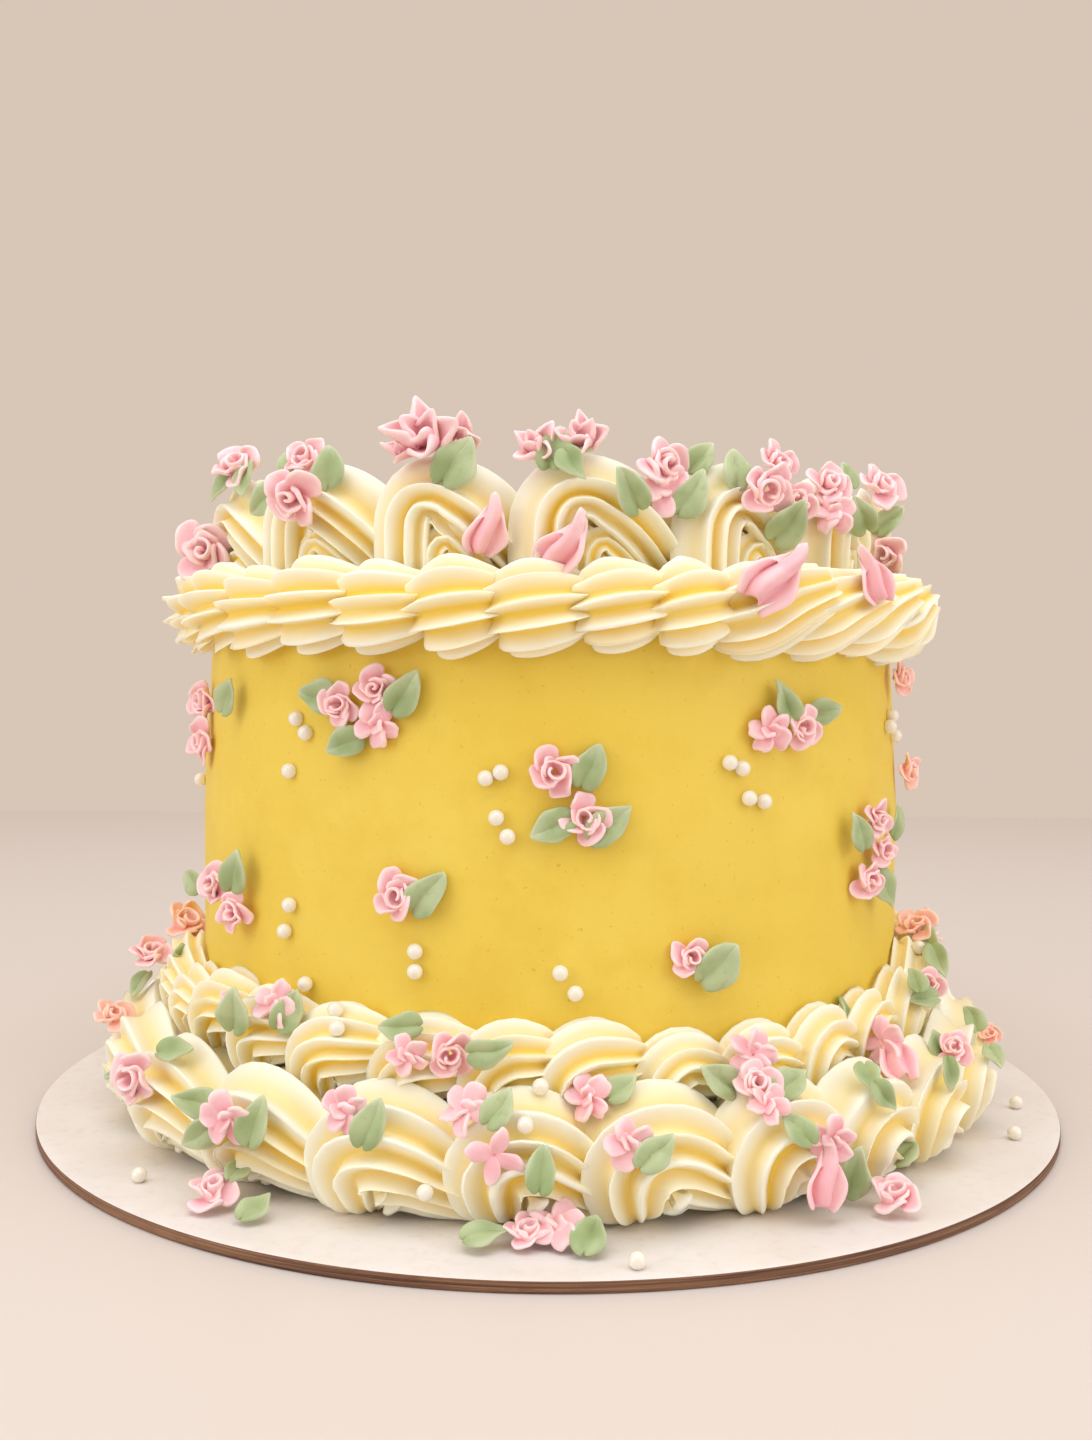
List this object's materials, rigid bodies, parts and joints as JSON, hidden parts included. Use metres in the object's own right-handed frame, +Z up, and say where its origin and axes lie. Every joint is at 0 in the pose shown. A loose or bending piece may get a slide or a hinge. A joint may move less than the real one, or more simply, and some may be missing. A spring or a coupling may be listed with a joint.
{
  "type": "birthday cake",
  "caption": "Round yellow-iced birthday cake with cream piped shell borders and swirls, small pink piped roses, green leaves and sugar pearls, on a round white board",
  "frame": {"origin": "centre of the underside of the cake board", "axes": "+Z is up through the cake, -Y is the front that the picture shows, +X is the cake's right seen from the front"},
  "size_m": [0.305, 0.305, 0.1939],
  "materials": {
    "board_paper": "matt greaseproof paper over brown board, brown at the edge",
    "icing": "smooth matt yellow buttercream with white sugar pearls",
    "piping": "soft satin cream buttercream, piped with star nozzles",
    "blooms": "matt pink buttercream roses with sage green leaves"
  },
  "bodies": {
    "root": {"board": "board_paper", "cake_body": "icing", "top_shells": "piping", "top_swirls": "piping", "base_upper_shells": "piping", "base_lower_shells": "piping", "crown_1": "blooms", "crown_2": "blooms", "crown_2_back": "blooms", "crown_3": "blooms", "crown_3_back": "blooms", "crown_5": "blooms", "crown_5_back": "blooms", "crown_6": "blooms", "crown_6_back": "blooms", "crown_7": "blooms", "crown_8": "blooms", "side_1": "blooms", "side_1_back": "blooms", "side_2": "blooms", "side_2_back": "blooms", "side_3": "blooms", "side_3_back": "blooms", "side_4": "blooms", "side_4_back": "blooms", "side_5": "blooms", "side_6": "blooms", "side_6_back": "blooms", "side_7": "blooms", "side_7_back": "blooms", "side_8": "blooms", "side_8_back": "blooms", "side_9": "blooms", "side_10": "blooms", "ledge_1": "blooms", "ledge_1_back": "blooms", "ledge_2": "blooms", "ledge_3": "blooms", "ledge_3_back": "blooms", "ledge_4": "blooms", "ledge_5": "blooms", "ledge_5_back": "blooms", "ledge_6": "blooms", "side_11": "blooms", "foot_1": "blooms", "foot_2": "blooms", "foot_2_back": "blooms", "foot_3": "blooms", "foot_3_back": "blooms", "foot_9": "blooms", "foot_10": "blooms", "foot_11": "blooms", "board_1": "blooms", "board_2": "blooms", "board_3": "blooms"}
  },
  "joints": []
}
